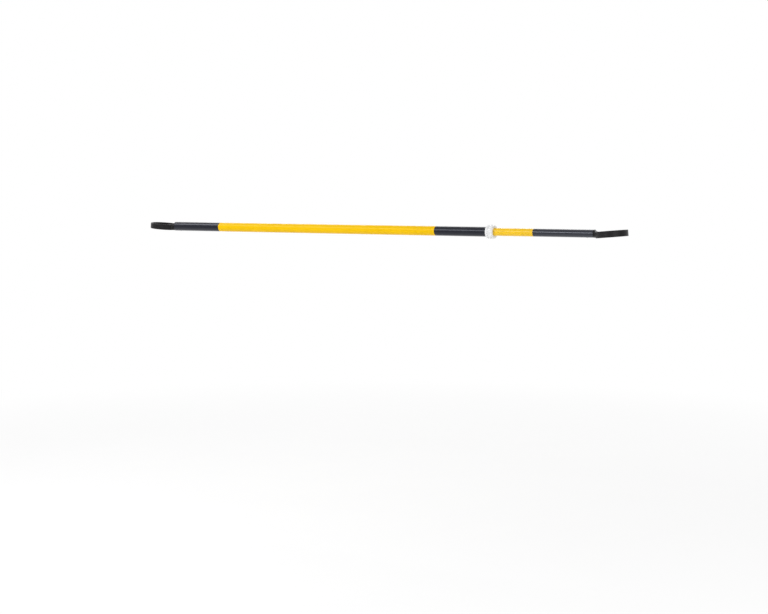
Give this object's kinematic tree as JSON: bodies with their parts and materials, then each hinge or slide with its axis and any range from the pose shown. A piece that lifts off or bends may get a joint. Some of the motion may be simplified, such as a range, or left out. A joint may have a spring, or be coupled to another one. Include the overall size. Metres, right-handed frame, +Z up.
{
  "type": "telescopic cone bar",
  "caption": "Telescopic barrier bar with black and yellow stripes, a white twist lock and a moulded ring at each end that drops over the neck of a traffic cone.",
  "frame": {"origin": "centre of the left ring's bore, on the axis of the bar", "axes": "+X along the bar from the left ring to the right ring, +Z up, across the leaning rings"},
  "size_m": [1.517, 0.08, 0.0356],
  "materials": {
    "steel": "bare steel tube",
    "film_black": "glossy black plastic film",
    "film_yellow": "glossy yellow plastic film",
    "ring_black": "satin black moulded plastic",
    "lock_white": "satin white moulded plastic",
    "nylon": "natural nylon",
    "fastener": "plain metal fastener"
  },
  "bodies": {
    "outer": {"outer_tube": "steel", "outer_film_black_tail": "film_black", "outer_film_yellow": "film_yellow", "outer_film_black_mouth": "film_black", "left_ring": "ring_black", "left_ring_rivet": "fastener", "lock_bush": "lock_white", "lock_bush_screw": "fastener"},
    "collet": {"lock_collet": "nylon"},
    "nut": {"lock_nut": "lock_white"},
    "guide": {"guide_bush": "nylon"},
    "inner": {"inner_tube": "steel", "inner_film_yellow": "film_yellow", "inner_film_black_end": "film_black", "right_ring": "ring_black", "right_ring_rivet": "fastener", "guide_plug": "nylon", "guide_plug_pin": "fastener"}
  },
  "joints": [
    {"name": "bar_slide", "type": "slide", "parent": "outer", "child": "guide", "axis": [1, 0, 0], "range_m": [-0.255, 0.642]},
    {"name": "bar_twist", "type": "hinge", "parent": "guide", "child": "inner", "pos_m": [0.422, 0, 0], "axis": [1, 0, 0], "continuous": true},
    {"name": "nut_advance", "type": "slide", "parent": "outer", "child": "collet", "axis": [1, 0, 0], "range_m": [0, 0.00155]},
    {"name": "nut_turn", "type": "hinge", "parent": "collet", "child": "nut", "pos_m": [1.102, 0, 0], "axis": [1, 0, 0], "range_deg": [0, 180]}
  ],
  "couplings": [
    {"joint": "nut_advance", "follows": "nut_turn", "m_per_rad": 0.00047746}
  ]
}
